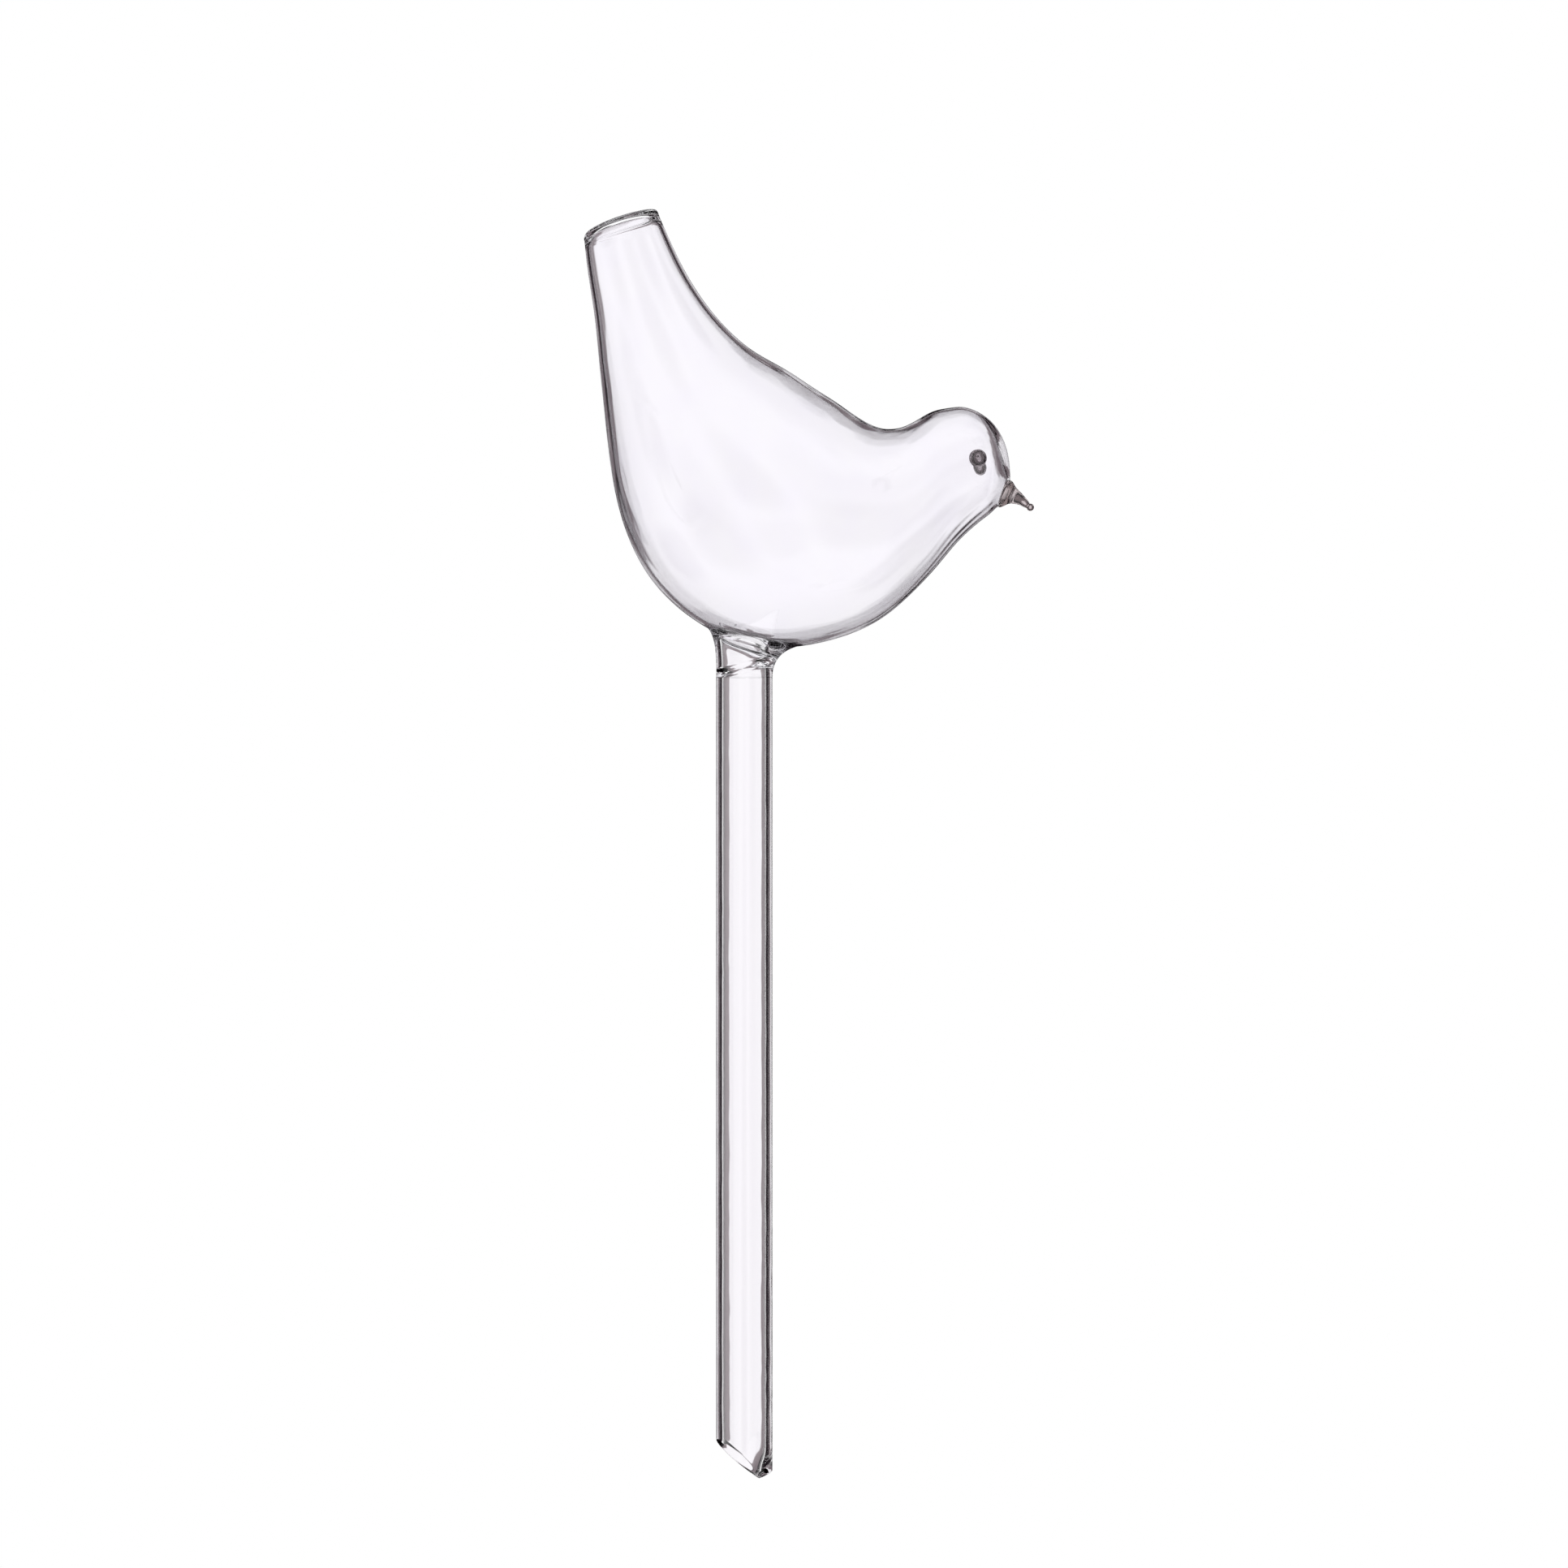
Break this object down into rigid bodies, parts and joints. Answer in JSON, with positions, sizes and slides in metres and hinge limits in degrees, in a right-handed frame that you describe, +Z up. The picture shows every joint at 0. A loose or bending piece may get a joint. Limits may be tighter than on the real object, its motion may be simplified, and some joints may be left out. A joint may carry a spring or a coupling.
{
  "type": "watering globe",
  "caption": "Clear blown-glass plant watering globe shaped as a perched bird, closed at the tail, with a feed tube cut on a slant for pushing into potting soil.",
  "frame": {"origin": "on the feed tube's axis, at the height where its slanted cut begins", "axes": "+X from the bird's tail towards its beak, +Y to the bird's left, +Z up along the feed tube"},
  "size_m": [0.0962, 0.0556, 0.27],
  "materials": {
    "blown_glass": "clear blown borosilicate, fire-polished",
    "tube_glass": "clear drawn tube, fire-polished at the cut",
    "drawn_glass": "clear solid drawn rod, fire-polished",
    "eye_glass": "dark melted glass bead, glossy"
  },
  "bodies": {
    "root": {"bird_body": "blown_glass", "tail_cap": "blown_glass", "neck_weld": "tube_glass", "stem_tube": "tube_glass", "beak": "drawn_glass", "right_eye": "eye_glass", "left_eye": "eye_glass"}
  },
  "joints": []
}
